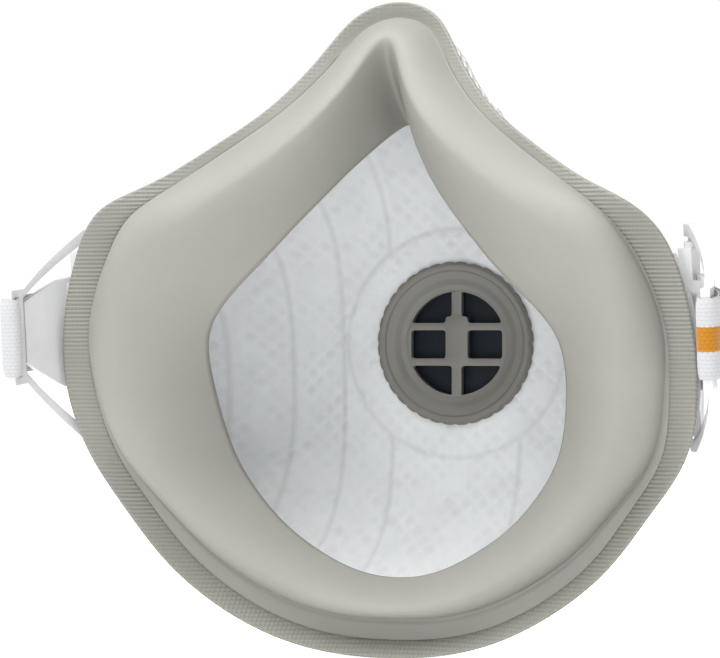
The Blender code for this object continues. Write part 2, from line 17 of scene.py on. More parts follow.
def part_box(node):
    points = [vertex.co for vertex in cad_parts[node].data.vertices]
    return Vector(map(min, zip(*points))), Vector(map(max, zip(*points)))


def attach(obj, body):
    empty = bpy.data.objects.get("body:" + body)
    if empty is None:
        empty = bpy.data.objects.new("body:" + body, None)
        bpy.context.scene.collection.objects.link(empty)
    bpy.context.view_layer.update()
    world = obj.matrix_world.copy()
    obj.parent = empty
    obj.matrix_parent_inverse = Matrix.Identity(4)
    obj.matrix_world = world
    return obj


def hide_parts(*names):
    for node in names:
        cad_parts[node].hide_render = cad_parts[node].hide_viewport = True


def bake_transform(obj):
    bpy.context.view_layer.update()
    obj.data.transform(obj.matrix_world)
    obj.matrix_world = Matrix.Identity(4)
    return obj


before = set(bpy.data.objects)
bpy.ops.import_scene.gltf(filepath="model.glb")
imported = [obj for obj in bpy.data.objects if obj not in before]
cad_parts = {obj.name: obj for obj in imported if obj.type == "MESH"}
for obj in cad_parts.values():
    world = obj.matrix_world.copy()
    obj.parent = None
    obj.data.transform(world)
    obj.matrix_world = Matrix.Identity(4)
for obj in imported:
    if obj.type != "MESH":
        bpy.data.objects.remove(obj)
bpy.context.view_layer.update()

MM = 0.001
MASK = "mask"

# ---- the mask's form

# Cross-sections of the face seal, from the nose tip down the +X side to the chin:
# rim edge, roll crest and opening edge (x, y, z each), then flange width,
# ledge width and the flange's lean.
SECTIONS = [
    (0.0, 16.0, 65.3, 0.0, 9.0, 57.2, 0.0, 23.0, 41.0, 2.8, 0.3, 0.8),
    (8.6, 14.4, 62.2, 3.0, 6.6, 54.0, 2.6, 18.2, 38.4, 2.8, 0.3, 0.8),
    (15.0, 9.8, 53.6, 6.0, 2.8, 48.4, 5.2, 14.0, 35.0, 2.8, 0.3, 0.8),
    (22.8, 4.2, 44.2, 11.0, -1.4, 41.6, 8.2, 10.3, 31.2, 2.8, 0.3, 0.8),
    (32.0, -0.3, 37.0, 18.5, -4.5, 34.5, 12.0, 7.2, 26.5, 3.0, 0.3, 1.0),
    (43.8, -4.3, 29.5, 31.0, -8.0, 25.5, 17.7, 4.3, 20.0, 3.4, 0.3, 1.0),
    (53.8, -6.6, 24.5, 42.0, -9.6, 19.0, 23.3, 2.8, 13.8, 5.2, 0.3, 1.2),
    (61.0, -3.4, 16.5, 49.0, -9.0, 12.5, 29.5, 2.3, 7.5, 6.6, 0.3, 0.8),
    (65.2, -1.3, 2.0, 52.5, -7.0, 0.5, 35.9, 5.2, -0.5, 5.6, 0.3, 1.0),
    (65.7, 1.4, -12.0, 52.0, -4.0, -12.5, 37.0, 10.0, -11.0, 5.9, 0.8, 1.2),
    (62.4, 4.9, -25.0, 49.0, -0.5, -24.0, 34.8, 13.8, -23.0, 5.2, 1.7, 2.1),
    (54.8, 5.6, -36.3, 43.0, 3.0, -33.5, 30.5, 15.2, -31.5, 4.5, 2.8, 3.1),
    (45.0, 6.5, -48.0, 34.5, 5.2, -42.3, 24.0, 15.6, -39.0, 4.0, 3.8, 3.8),
    (31.0, 7.2, -58.0, 23.5, 6.6, -49.8, 16.0, 15.6, -44.7, 3.6, 4.2, 4.2),
    (15.8, 8.6, -63.7, 12.0, 7.4, -54.6, 8.0, 16.0, -48.4, 3.4, 4.2, 4.2),
    (0.0, 9.6, -65.3, 0.0, 7.8, -56.0, 0.0, 16.5, -49.6, 3.4, 4.2, 4.2),
]

SEAL_FLANGE = 1.2  # thickness of the welded flange
SEAL_SKIN = 1.7  # thickness of the roll
FALL_POWER = 1.6  # how late the roll falls away to the opening
VALVE_Z = -3.0  # height of the valve's axis
BOSS_Y = 52.9  # depth of the flat boss round the valve
BOSS_RADIUS = 22.0
VALVE_HOLE = 14.0
DOME_POWER = 0.88  # fullness of the cup between flange and boss
CUP_INSET = 4.0  # from the seal's ledge in to the cup's wall
CUP_FLANGE = SEAL_FLANGE + 0.5  # from the seal's face to the first layer of the cup
FRONT_FLANGE = 1.5  # thickness of all the layers on the flange


def hermite(t, start, end, leave, arrive):
    """A cubic from start to end that leaves and arrives with these slopes."""
    return (
        (2 * t**3 - 3 * t**2 + 1) * start + (t**3 - 2 * t**2 + t) * leave
        + (3 * t**2 - 2 * t**3) * end + (t**3 - t**2) * arrive
    )


def closed_spline(knots, steps):
    """Sample a smooth closed curve through the knots, any number of values per knot."""
    knots = np.array(knots, float)
    count = len(knots)
    one = np.eye(count)
    system = 4.0 * one + np.roll(one, 1, axis=0) + np.roll(one, -1, axis=0)
    right = 3.0 * (np.roll(knots, -1, axis=0) - np.roll(knots, 1, axis=0))
    slopes = np.linalg.solve(system, right)
    t = (np.arange(steps) / steps)[:, None]
    rows = []
    for i in range(count):
        j = (i + 1) % count
        rows.append(hermite(t, knots[i], knots[j], slopes[i], slopes[j]))
    return np.concatenate(rows)


SMOOTH = 14  # steps between two sections where the form is smooth


class Outline:
    """The mask's cross-sections all the way round, as arrays."""

    def __init__(self, steps):
        mirror = np.ones(12)
        mirror[[0, 3, 6]] = -1.0
        right = [np.array(row) for row in SECTIONS]
        left = [row * mirror for row in right[-2:0:-1]]
        rows = closed_spline(right + left, steps)
        self.rim = rows[:, 0:3]
        self.crest = rows[:, 3:6]
        self.opening = rows[:, 6:9]
        self.flange, self.ledge, self.lean = rows[:, 9], rows[:, 10], rows[:, 11]
        inward = (self.crest - self.rim) * np.array([1.0, 0.0, 1.0])
        self.inward = inward / np.linalg.norm(inward, axis=1, keepdims=True)

    def flange_point(self, distance):
        """The flange's wearer-side face at a distance in from the rim edge."""
        distance = np.broadcast_to(distance, self.flange.shape)
        point = self.rim + self.inward * distance[:, None]
        point[:, 1] += self.lean * np.minimum(distance / self.flange, 1.0)
        return point

    def wall_point(self, rise, flange_depth, dome_depth):
        """A point of the cup's wall, from the flange at rise 0 to the boss at rise 1."""
        foot = self.wall_foot(dome_depth)
        foot_y = foot[:, 1] + CUP_FLANGE + flange_depth
        boss = BOSS_RADIUS * self.ring(foot) + np.array([0.0, 0.0, VALVE_Z])
        turn = rise * math.pi / 2
        point = boss + (foot - boss) * math.cos(turn) ** DOME_POWER
        point[:, 1] = foot_y + (BOSS_Y + dome_depth - foot_y) * math.sin(turn) ** DOME_POWER
        return point

    def ring(self, foot):
        """Directions from the valve axis to each foot point."""
        angle = np.arctan2(foot[:, 2] - VALVE_Z, foot[:, 0])
        return np.stack([np.cos(angle), 0.0 * angle, np.sin(angle)], axis=1)

    def wall_foot(self, inset=0.0):
        """Where the cup's wall starts, or a depth nearer to the rim."""
        return self.flange_point(self.flange + self.ledge + CUP_INSET - inset)

    def boss_point(self, radius, depth):
        """A point on the flat boss round the valve."""
        point = radius * self.ring(self.wall_foot())
        point[:, 1] = BOSS_Y + depth
        point[:, 2] += VALVE_Z
        return point


# ---- meshes

CREASE = 40.0  # edges sharper than this, in degrees, stay crisp


def add_object(name, data):
    """A new object in the scene."""
    obj = bpy.data.objects.new(name, data)
    bpy.context.scene.collection.objects.link(obj)
    return obj


@contextmanager
def edited(mesh):
    """Open a mesh in bmesh, and write it back afterwards."""
    bm = bmesh.new()
    bm.from_mesh(mesh)
    yield bm
    bm.to_mesh(mesh)
    bm.free()


def make_object(name, points, faces, mat, sharp=None):
    """A mesh object from points in millimetres."""
    mesh = bpy.data.meshes.new(name)
    mesh.from_pydata((np.asarray(points) * MM).tolist(), [], faces)
    with edited(mesh) as bm:
        bmesh.ops.recalc_face_normals(bm, faces=bm.faces)
    mesh.shade_smooth()
    if sharp is not None:
        mesh.set_sharp_from_angle(angle=math.radians(sharp))
    mesh.materials.append(mat)
    return add_object(name, mesh)


def loop_faces(around, size, closed=True):
    """Quads over a loop, or an open row, of sections that are rings of size points."""
    faces = []
    for i in range(around if closed else around - 1):
        a0 = i * size
        b0 = (i + 1) % around * size
        for j in range(size):
            k = (j + 1) % size
            faces.append((a0 + j, a0 + k, b0 + k, b0 + j))
    return faces


def capped_faces(count, size):
    """Quads over an open row of sections, and a face at each end."""
    ends = [tuple(range(size)), tuple(range((count - 1) * size, count * size))]
    return loop_faces(count, size, closed=False) + ends


def grid_normals(grid, closed=True):
    """Unit normals of a grid of points that runs round a loop, or along a band."""
    if closed:
        along = np.roll(grid, -1, axis=0) - np.roll(grid, 1, axis=0)
    else:
        along = np.gradient(grid, axis=0)
    across = np.gradient(grid, axis=1)
    normal = np.cross(along, across)
    return normal / np.maximum(np.linalg.norm(normal, axis=2, keepdims=True), 1e-9)


def point_values(obj, name, values):
    """Store one number per point, for a material to read."""
    attribute = obj.data.attributes.new(name, "FLOAT", "POINT")
    attribute.data.foreach_set("value", np.asarray(values, np.float32).ravel())


def apply_modifiers(obj):
    """Turn an object's modifiers into its mesh."""
    bpy.context.view_layer.update()
    depsgraph = bpy.context.evaluated_depsgraph_get()
    mesh = bpy.data.meshes.new_from_object(obj.evaluated_get(depsgraph))
    obj.modifiers.clear()
    obj.data = mesh


def cut(obj, cutter):
    """Cut one object out of another and remove it."""
    modifier = obj.modifiers.new("bool", "BOOLEAN")
    modifier.operation = "DIFFERENCE"
    modifier.solver = "EXACT"
    modifier.object = cutter
    apply_modifiers(obj)
    bpy.data.objects.remove(cutter)


def soften(obj, width, segments=2, angle=32.0):
    """Round an object's hard edges."""
    bevel = obj.modifiers.new("bevel", "BEVEL")
    bevel.width = width * MM
    bevel.segments = segments
    bevel.limit_method = "ANGLE"
    bevel.angle_limit = math.radians(angle)
    apply_modifiers(obj)
    obj.data.shade_smooth()
    obj.data.set_sharp_from_angle(angle=math.radians(CREASE))


def turned(name, profile, mat, count, ripple=None):
    """A ring turned about the valve axis from a closed (radius, y) profile."""
    angle = 2.0 * math.pi * np.arange(count) / count
    profile = np.array(profile, float)
    radius = np.broadcast_to(profile[:, 0], (count, len(profile))).copy()
    if ripple is not None:
        radius -= ripple(angle[:, None], profile[None, :, 0])
    points = np.stack([
        radius * np.cos(angle)[:, None],
        np.broadcast_to(profile[:, 1], radius.shape),
        VALVE_Z + radius * np.sin(angle)[:, None],
    ], axis=2)
    faces = loop_faces(count, len(profile))
    return make_object(name, points.reshape(-1, 3), faces, mat, CREASE)


def prism(name, outline, low, high):
    """A prism along +Y with an outline in (x, z) round the valve axis."""
    points = [(a, y, VALVE_Z + b) for y in (low, high) for a, b in outline]
    return make_object(name, points, capped_faces(2, len(outline)), SEAT, 35.0)


def rounded(corners, radius, steps=4):
    """Round a closed outline's corners, with one radius for all or one for each."""
    corners = [np.array(c, float) for c in corners]
    radii = radius if isinstance(radius, list) else [radius] * len(corners)
    outline = []
    for i, corner in enumerate(corners):
        before = corners[i - 1] - corner
        after = corners[(i + 1) % len(corners)] - corner
        lengths = np.linalg.norm(before), np.linalg.norm(after)
        reach = min(radii[i], 0.49 * min(lengths))
        if reach < 1e-6:
            outline.append(tuple(corner))
            continue
        start = corner + before / lengths[0] * reach
        end = corner + after / lengths[1] * reach
        for k in range(steps + 1):
            t = k / steps
            outline.append(tuple((1 - t) ** 2 * start + 2 * t * (1 - t) * corner + t**2 * end))
    return outline


def join(obj, others):
    """Add other objects' meshes to one object's mesh."""
    with edited(obj.data) as bm:
        for other in others:
            bm.from_mesh(other.data)
            bpy.data.objects.remove(other)


def done(obj, nodes, body=MASK):
    """Hide the CAD nodes a piece stands for, and attach it to the body it rides on, if one."""
    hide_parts(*nodes)
    if body:
        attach(obj, body)


# ---- materials

# The ribs run up both sides of the cup, and a round step goes round the valve.
RIB_PLACES = (13.5, 24.3, 34.8, 46.0)
RIB_WIDTH = 1.0
RIB_HEIGHT = 0.5
RIB_FLARE = 0.0011
RIB_LEVEL = 10.0
RING_RADIUS = 23.5
RING_STEP = 0.5
# Width of the painted shadow lines by the ribs and the step.
SHADOW_LINE_WIDTH = 0.9
FIBRE = 0.22
HATCH_PITCH = 3.8
HATCH_TONE = 0.30

KNURL_PITCH = 0.82
POSTS_SPAN = (30.0, 52.0)  # from the middle to the side, posts give way to ribs
POSTS_SHARE = (0.45, 0.12)
SEAL_COLOUR = (0.242, 0.238, 0.214)
SEAL_COLOUR_WARM = (0.230, 0.226, 0.200)
SEAL_GRAIN = (0.31, 0.306, 0.287)
# Painted shade on the cheek tabs and the chin flange.
TAB_PAINTED_SHADE = (0.190, 0.188, 0.160)
# Painted shade in the knurl's grooves.
KNURL_GROOVE_SHADE = (0.080, 0.078, 0.066)

WARP_PITCH = 0.75
WEFT_PITCH = 0.9
STRIPE_WIDTH = 4.6
STRAP_WHITE = (0.42, 0.425, 0.44)
STRAP_SHADE = (0.375, 0.38, 0.393)
STRAP_FUZZ = (0.52, 0.52, 0.54)
ORANGE = (0.365, 0.150, 0.003)
ORANGE_SHADE = (0.32, 0.124, 0.003)


def dimmed(colour, share):
    """A colour at this share of its brightness."""
    return tuple(c * share for c in colour)


class Net:
    """A small helper that builds a material's nodes."""

    def __init__(self, name):
        self.mat = bpy.data.materials.new(name)
        self.mat.use_nodes = True
        self.tree = self.mat.node_tree
        self.shader = self.tree.nodes["Principled BSDF"]

    def node(self, kind, inputs=(), **settings):
        node = self.tree.nodes.new("ShaderNode" + kind)
        for key, value in settings.items():
            setattr(node, key, value)
        for key, value in dict(inputs).items():
            self.set(node.inputs[key], value)
        return node

    def set(self, socket, value):
        if isinstance(value, bpy.types.NodeSocket):
            self.tree.links.new(value, socket)
        elif socket.type == "RGBA":
            socket.default_value = (*value, 1.0)
        else:
            socket.default_value = value

    def place(self):
        return self.node("TexCoord").outputs["Object"]

    def split(self, vector):
        return self.node("SeparateXYZ", {0: vector}).outputs

    def value(self, name):
        return self.node("Attribute", attribute_name=name).outputs["Fac"]

    def math(self, operation, *values):
        inputs = dict(enumerate(values))
        return self.node("Math", inputs, operation=operation).outputs[0]

    def times(self, a, b):
        return self.math("MULTIPLY", a, b)

    def weigh(self, share, a, b):
        """A number that is a where share is 1 and b where it is 0."""
        rest = self.math("SUBTRACT", 1.0, share)
        return self.math("ADD", self.times(a, share), self.times(b, rest))

    def noise(self, size, detail=2.0, roughness=0.5, vector=None, distortion=0.0):
        """Noise with features of about this size in millimetres."""
        inputs = {"Scale": 1.0 / (size * MM), "Detail": detail, "Roughness": roughness}
        inputs.update({"Distortion": distortion, "Vector": vector or self.place()})
        return self.node("TexNoise", inputs).outputs["Fac"]

    def scaled(self, scale):
        """The place in the object, scaled along each axis."""
        inputs = {"Vector": self.place(), "Scale": scale}
        return self.node("Mapping", inputs).outputs[0]

    def range(self, value, low, high, to_low=0.0, to_high=1.0):
        inputs = {"Value": value, "From Min": low, "From Max": high}
        inputs.update({"To Min": to_low, "To Max": to_high})
        return self.node("MapRange", inputs).outputs["Result"]

    def mix(self, factor, a, b):
        """Mix two colours, from a at factor 0 to b at factor 1."""
        return self.node("Mix", {0: factor, 6: a, 7: b}, data_type="RGBA").outputs[2]

    def wave(self, coordinate, pitch, phase=0.0):
        """A sine from 0 to 1 along a coordinate in metres."""
        turns = self.math("MULTIPLY_ADD", coordinate, 2.0 * math.pi / (pitch * MM), phase)
        return self.math("MULTIPLY_ADD", self.math("SINE", turns), 0.5, 0.5)

    def bump(self, height, depth, strength=1.0, normal=None):
        """Bump with a depth in millimetres."""
        inputs = {"Height": height, "Distance": depth * MM, "Strength": strength}
        if normal is not None:
            inputs["Normal"] = normal
        return self.node("Bump", inputs).outputs["Normal"]

    def finish(self, colour, roughness, normal=None, **settings):
        inputs = {"Base Color": colour, "Roughness": roughness}
        if normal is not None:
            inputs["Normal"] = normal
        inputs.update({key.replace("_", " "): value for key, value in settings.items()})
        for key, value in inputs.items():
            self.set(self.shader.inputs[key], value)
        return self.mat


def seal_material():
    """Soft grey-beige elastomer. Point values say where it is knurled and how much painted shade
    darkens the cheek tabs.
    """
    net = Net("seal_soft")
    cloud = net.noise(14.0, 3.0)
    grain = net.noise(0.35, 3.0, 0.6)
    knurl = net.value("knurl")
    x, _, z = net.split(net.place())
    tab_shade = net.value("tab_shade")
    ribs = net.wave(z, KNURL_PITCH)
    posts = net.wave(x, KNURL_PITCH)
    near, far = (distance * MM for distance in POSTS_SPAN)
    share = net.range(net.math("ABSOLUTE", x), near, far, *POSTS_SHARE)
    cell = net.weigh(share, posts, ribs)
    base = net.mix(net.range(cloud, 0.3, 0.7), SEAL_COLOUR, SEAL_COLOUR_WARM)
    base = net.mix(net.range(grain, 0.35, 0.75, 0.0, 0.12), base, SEAL_GRAIN)
    # Painted shade: the cheek tabs below the fold, and the chin flange most, are darkened.
    base = net.mix(tab_shade, base, TAB_PAINTED_SHADE)
    # Painted shade: the knurl's grooves are darkened.
    groove = net.times(knurl, net.range(cell, 0.05, 0.6, 0.28, 0.0))
    base = net.mix(groove, base, KNURL_GROOVE_SHADE)
    rough = net.range(grain, 0.3, 0.7, 0.52, 0.66)
    normal = net.bump(net.times(cell, knurl), 0.16, 0.8, net.bump(grain, 0.04, 0.5))
    return net.finish(base, rough, normal, Subsurface_Weight=0.08, Subsurface_Scale=0.0015,
                      Specular_IOR_Level=0.35)


def rib_shadow_lines(net, x, z):
    """Painted shadow lines beside the moulded ribs and round the step by the valve, from 0 to 1."""
    flare = net.math("MULTIPLY_ADD", z, RIB_FLARE / MM, 1.0 - RIB_FLARE * RIB_LEVEL)
    across = net.math("DIVIDE", net.math("ABSOLUTE", x), flare)
    shadow_lines = 0.0
    for place in RIB_PLACES:
        distance = net.math("ABSOLUTE", net.math("SUBTRACT", across, (place + RIB_WIDTH) * MM))
        line = net.range(distance, 0.1 * MM, SHADOW_LINE_WIDTH * MM, 1.0, 0.0)
        shadow_lines = net.math("MAXIMUM", shadow_lines, line)
    drop = net.math("SUBTRACT", z, VALVE_Z * MM)
    squares = net.math("ADD", net.times(x, x), net.times(drop, drop))
    radius = net.math("SQRT", squares)
    outside = net.range(radius, RING_RADIUS * MM, (RING_RADIUS + 1.0) * MM)
    shadow_lines = net.times(shadow_lines, outside)
    away = net.math("ABSOLUTE", net.math("SUBTRACT", radius, (RING_RADIUS + 0.3) * MM))
    return net.math("MAXIMUM", shadow_lines, net.range(away, 0.1 * MM, SHADOW_LINE_WIDTH * MM, 0.8, 0.0))


def fleece_material(name, colour, hatch=0.0, rib_shadow=0.0):
    """Non-woven fabric: fibres and clouds, with an optional crossed emboss and painted shadow lines
    by the ribs.
    """
    net = Net(name)
    x, _, z = net.split(net.place())
    fibres = net.noise(FIBRE, 4.0, 0.65, net.scaled((1.0, 1.0, 0.35)), 0.8)
    more = net.noise(FIBRE * 1.3, 3.0, 0.6, net.scaled((0.35, 1.0, 1.0)), 0.8)
    cloud = net.noise(9.0, 4.0, 0.6)
    web = net.weigh(0.6, fibres, more)
    base = net.mix(net.range(cloud, 0.3, 0.72), dimmed(colour, 0.90), colour)
    base = net.mix(net.range(web, 0.38, 0.62, 0.0, 0.22), base, dimmed(colour, 0.80))
    normal = net.bump(web, 0.10, 0.55)
    if hatch:
        one = net.wave(net.math("ADD", x, z), HATCH_PITCH)
        two = net.wave(net.math("SUBTRACT", x, z), HATCH_PITCH)
        dents = net.math("POWER", net.times(one, two), 0.6)
        wander = net.range(net.noise(6.0, 2.0), 0.35, 0.65)
        dents = net.times(dents, wander)
        normal = net.bump(dents, hatch, 0.8, normal)
        base = net.mix(net.times(dents, HATCH_TONE), base, dimmed(colour, 0.70))
    if rib_shadow:
        # Painted shadow: a dark line on one side of each rib and round the step's outer edge.
        shadow_lines = rib_shadow_lines(net, x, z)
        base = net.mix(net.times(shadow_lines, rib_shadow), base, dimmed(colour, 0.70))
    welded = net.value("weld")
    grid = net.times(net.wave(x, KNURL_PITCH), net.wave(z, KNURL_PITCH))
    normal = net.bump(net.times(welded, grid), 0.3, 0.8, normal)
    base = net.mix(net.times(welded, 0.5), base, dimmed(colour, 0.82))
    rough = net.range(web, 0.3, 0.7, 0.78, 0.95)
    return net.finish(base, rough, normal, Subsurface_Weight=0.12, Subsurface_Scale=0.002,
                      Specular_IOR_Level=0.2, Sheen_Weight=0.25, Sheen_Roughness=0.5)


def plastic_material(name, colour, roughness, grain=0.25, subsurface=0.0, speck=0.05,
                     specular=0.5):
    """Moulded plastic with a fine spark-eroded grain and slight unevenness."""
    net = Net(name)
    fine = net.noise(grain, 3.0, 0.6)
    cloud = net.noise(6.0, 3.0)
    base = net.mix(net.range(cloud, 0.35, 0.65), dimmed(colour, 1.0 - speck), colour)
    base = net.mix(net.range(fine, 0.35, 0.7, 0.0, speck * 3.0), base, dimmed(colour, 0.85))
    rough = net.math("ADD", net.range(fine, 0.3, 0.7, roughness - 0.06, roughness + 0.06),
                     net.range(cloud, 0.3, 0.7, -0.03, 0.03))
    normal = net.bump(fine, 0.02, 0.6)
    return net.finish(base, rough, normal, Subsurface_Weight=subsurface, Subsurface_Scale=0.001,
                      Specular_IOR_Level=specular)


def metal_material():
    """Rolled aluminium with a fine lengthwise brushing."""
    net = Net("nose_clip_aluminium")
    brush = net.noise(0.12, 4.0, 0.7, net.scaled((0.08, 1.0, 1.0)))
    cloud = net.noise(5.0, 3.0)
    base = net.mix(net.range(cloud, 0.3, 0.7), (0.74, 0.75, 0.76), (0.82, 0.83, 0.84))
    rough = net.range(brush, 0.3, 0.7, 0.28, 0.45)
    normal = net.bump(brush, 0.015, 0.6)
    return net.finish(base, rough, normal, Metallic=1.0)


def strap_material():
    """Woven elastic: white with one orange stripe, from the band's own coordinates."""
    net = Net("strap_elastic")
    across = net.value("across")
    along = net.value("along")
    warp = net.wave(across, WARP_PITCH)
    weft = net.wave(along, WEFT_PITCH)
    half = net.wave(along, WEFT_PITCH, math.pi)
    column = net.math("GREATER_THAN", net.wave(across, 2.0 * WARP_PITCH), 0.5)
    pick = net.weigh(column, weft, half)
    weave = net.weigh(0.55, warp, pick)
    fuzz = net.noise(0.25, 3.0, 0.6)
    distance = net.math("MULTIPLY_ADD", pick, 0.12 * MM, net.math("ABSOLUTE", across))
    edge = STRIPE_WIDTH / 2
    inside = net.range(distance, edge * MM, (edge + 0.2) * MM, 1.0, 0.0)
    stripe = net.times(inside, net.value("stripe"))
    white = net.mix(net.range(weave, 0.2, 0.8), STRAP_SHADE, STRAP_WHITE)
    white = net.mix(net.range(fuzz, 0.4, 0.7, 0.0, 0.1), white, STRAP_FUZZ)
    orange = net.mix(net.range(weave, 0.2, 0.8), ORANGE_SHADE, ORANGE)
    base = net.mix(stripe, white, orange)
    normal = net.bump(weave, 0.07, 0.6, net.bump(fuzz, 0.04, 0.4))
    rough = net.range(weave, 0.2, 0.8, 0.9, 0.72)
    return net.finish(base, rough, normal, Subsurface_Weight=0.06, Subsurface_Scale=0.001,
                      Specular_IOR_Level=0.25, Sheen_Weight=0.2, Sheen_Roughness=0.5)


SEAL = seal_material()
LINER = fleece_material("liner_fleece", (0.765, 0.775, 0.785), hatch=0.4, rib_shadow=0.45)
FILTER = fleece_material("filter_fleece", (0.84, 0.85, 0.85))
COVER = fleece_material("cover_fleece", (0.60, 0.60, 0.595), hatch=0.12)
NET_PLASTIC = plastic_material("net_plastic", (0.62, 0.62, 0.61), 0.5, subsurface=0.1)
CLIP = metal_material()
SEAT = plastic_material("seat_plastic", (0.162, 0.158, 0.141), 0.42, speck=0.06)
FLAP = plastic_material("flap_rubber", (0.005, 0.009, 0.015), 0.6, grain=0.4, specular=0.2)
CAP = plastic_material("cap_plastic", (0.60, 0.60, 0.59), 0.38, subsurface=0.05)
BUCKLE = plastic_material("buckle_plastic", (0.55, 0.555, 0.56), 0.33, subsurface=0.1)
STRAP = strap_material()

# ---- face seal

FLANGE_POINTS = 13
LEDGE_ROWS = 7
KNURL_DEPTH = 0.10
FOLD_Z = 26.5  # where the cheek tabs meet the nose flange
NOSE_SOFTNESS = 0.9  # how gently the roll rises from the nose flange
TUCK = 0.35  # how deep the roll's outer edge goes into the flange
TAIL_ROWS = 4


def band_solid(front, back):
    """Points and faces of a closed solid between two grids over one loop."""
    sections = np.concatenate([front, back[:, ::-1]], axis=1)
    return sections.reshape(-1, 3), loop_faces(len(sections), sections.shape[1])


def nose_share(outline):
    """0 at the cheeks and chin, and 1 at the nose."""
    return np.clip((outline.rim[:, 2] - FOLD_Z) / 6.0, 0.0, 1.0)


def knurl_strength(outline, share):
    """1 on the tabs, and less on the nose flange, where it fades toward the roll."""
    nose = nose_share(outline)[:, None]
    return (1.0 - nose) + nose * 0.55 * np.clip(1.15 - 1.3 * share[None, :], 0.0, 1.0)


def knurl_wave(coordinate):
    """A sine from 0 to 1 at the knurl's pitch."""
    return 0.5 + 0.5 * np.sin(2.0 * math.pi * coordinate / KNURL_PITCH)


def seal_flange(outline):
    """The knurled flange as two grids, wearer side and far side."""
    share = np.linspace(0.0, 1.0, FLANGE_POINTS)
    rows = [outline.flange_point(outline.flange * part) for part in share]
    front = np.stack(rows, axis=1)
    ribs = knurl_wave(front[:, :, 2])
    posts = knurl_wave(front[:, :, 0])
    inside = np.clip((1.0 - share) * 12.0, 0.0, 1.0)[None, :]
    inside = inside * knurl_strength(outline, share)
    part = np.interp(np.abs(front[:, :, 0]), POSTS_SPAN, POSTS_SHARE)
    front[:, :, 1] -= KNURL_DEPTH * ((1.0 - part) * ribs + part * posts - 0.5) * inside
    edge = 0.35 * np.clip(1.0 - share * 12.0, 0.0, 1.0) ** 2
    front[:, :, 1] += edge[None, :]
    back = np.stack(rows, axis=1)
    back[:, :, 1] += SEAL_FLANGE - edge[None, :]
    return front, back


def seal_roll(outline):
    """The roll from the crease by the flange to the opening's edge, as two grids."""
    rows = []
    for part in np.linspace(0.0, 1.0, LEDGE_ROWS):
        rows.append(outline.flange_point(outline.flange - 0.3 + (outline.ledge + 0.3) * part))
    rows[0][:, 1] += TUCK
    groove = outline.flange_point(outline.flange + outline.ledge)
    groove[:, 1] += 0.5 * np.clip((outline.ledge - 0.6) / 2.5, 0.0, 1.0)
    rows[-1] = groove
    nose = nose_share(outline)
    for part in np.linspace(0.0, 1.0, 21)[1:]:
        angle = part * math.pi / 2
        point = groove + (outline.crest - groove) * (1.0 - math.cos(angle))
        rise = math.sin(angle) ** (1.0 + NOSE_SOFTNESS * nose)
        point[:, 1] = groove[:, 1] + (outline.crest - groove)[:, 1] * rise
        rows.append(point)
    for part in np.linspace(0.0, 1.0, 23)[1:]:
        point = outline.crest + (outline.opening - outline.crest) * part
        fall = outline.opening[:, 1] - outline.crest[:, 1]
        point[:, 1] = outline.crest[:, 1] + fall * part**FALL_POWER
        rows.append(point)
    front = np.stack(rows, axis=1)
    normal = grid_normals(front)
    if normal[0, 20, 1] < 0.0:
        normal = -normal
    thickness = np.full(front.shape[1], SEAL_SKIN)
    thickness[:LEDGE_ROWS] = np.linspace(SEAL_FLANGE - TUCK, SEAL_SKIN, LEDGE_ROWS)
    thickness[-TAIL_ROWS:] = SEAL_SKIN * np.sqrt(np.linspace(1.0, 0.12, TAIL_ROWS))
    back = front + normal * thickness[None, :, None]
    return front, back


def make_seal():
    """The face seal: a finely meshed flange for the knurl, and the roll inside it."""
    fine = Outline(72)
    points, faces = band_solid(*seal_flange(fine))
    more_points, more_faces = band_solid(*seal_roll(Outline(SMOOTH)))
    faces += [tuple(i + len(points) for i in face) for face in more_faces]
    seal = make_object("face_seal_soft", np.concatenate([points, more_points]), faces, SEAL)
    share = np.linspace(0.0, 1.0, FLANGE_POINTS)
    share = np.concatenate([share, share[::-1]])
    knurl = knurl_strength(fine, share)
    height = fine.rim[:, 2:3]
    # Share of painted shade: the tabs below the fold are darkened, more so toward the chin.
    tab_shade = 1.0 / (1.0 + np.exp((height - FOLD_Z) / 0.35)) * np.ones_like(share)
    chin = np.clip((-height - 30.0) / 20.0, 0.0, 1.0)
    tab_shade = tab_shade * (0.25 + 0.45 * chin)
    rest = np.zeros(len(more_points))
    point_values(seal, "knurl", np.concatenate([knurl.ravel(), rest]))
    point_values(seal, "tab_shade", np.concatenate([tab_shade.ravel(), rest]))
    done(seal, ["face_seal"])


make_seal()

# ---- cup layers

FLANGE_ROWS = 6
WALL_ROWS = 100
LAYER_INSET = 0.9  # from the seal's rim in to each layer's edge
EMBOSS_FROM_Y = 14.0  # the emboss stays clear of the flange


def layer_grid(outline, flange_depth, dome_depth, on_flange, emboss):
    """One face of a cup layer, from its outer edge to the valve hole."""
    rows = []
    rises = np.linspace(0.08, 1.0, WALL_ROWS // 2)
    if on_flange:
        rises = np.linspace(0.0, 1.0, WALL_ROWS)
        for part in np.linspace(0.0, 1.0, FLANGE_ROWS):
            row = outline.flange_point(LAYER_INSET + (outline.flange - LAYER_INSET) * part)
            row[:, 1] += CUP_FLANGE + flange_depth
            rows.append(row)
    for rise in rises:
        rows.append(outline.wall_point(float(rise), flange_depth, dome_depth))
    for radius in np.linspace(BOSS_RADIUS, VALVE_HOLE, 10)[1:]:
        rows.append(outline.boss_point(radius, dome_depth))
    grid = np.stack(rows, axis=1)
    return embossed(grid, emboss) if emboss else grid


